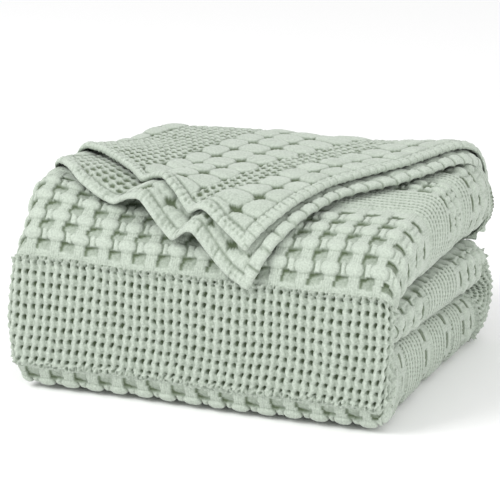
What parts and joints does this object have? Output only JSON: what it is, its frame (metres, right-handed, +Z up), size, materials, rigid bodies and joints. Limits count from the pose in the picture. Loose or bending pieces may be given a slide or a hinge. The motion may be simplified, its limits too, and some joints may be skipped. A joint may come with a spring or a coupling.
{
  "type": "folded waffle weave blanket",
  "caption": "Thick cotton blanket in a banded waffle weave, folded in layers into a soft stack, with one doubled hemmed corner thrown forward over the top.",
  "frame": {"origin": "on the floor, under the middle of the bounding box", "axes": "+X from left to right along the front face, +Y from the front face to the back, +Z up"},
  "size_m": [0.3844, 0.3574, 0.2124],
  "materials": {
    "cotton": "matt waffle woven cotton"
  },
  "bodies": {
    "root": {"blanket": "cotton"}
  },
  "joints": []
}
